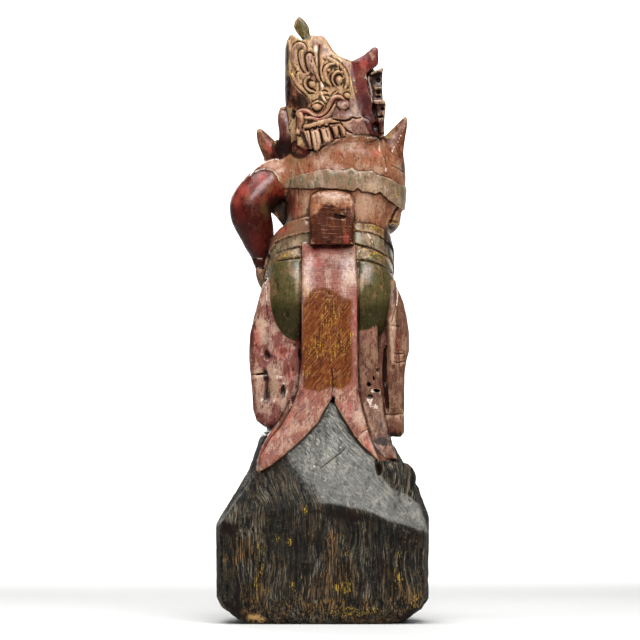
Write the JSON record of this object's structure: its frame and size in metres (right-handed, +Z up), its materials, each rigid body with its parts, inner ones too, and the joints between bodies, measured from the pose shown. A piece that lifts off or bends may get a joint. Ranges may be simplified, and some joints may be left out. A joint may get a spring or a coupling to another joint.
{
  "type": "wooden deity statue",
  "caption": "Painted wooden temple guardian carved with its rough hewn base from one log, an arm akimbo, a tail cloth down the back and a monster mask behind the crown.",
  "frame": {"origin": "on the floor under the middle of the hewn base", "axes": "+Z up through the figure, +Y towards the figure's front, +X towards its right arm"},
  "size_m": [0.213, 0.176, 0.6075],
  "materials": {
    "painted_wood": "worn and waxed paint over carved wood, red, gold and green on the figure and grey-black on the hewn base, with grime in the hollows"
  },
  "bodies": {
    "root": {"statue": "painted_wood"}
  },
  "joints": []
}
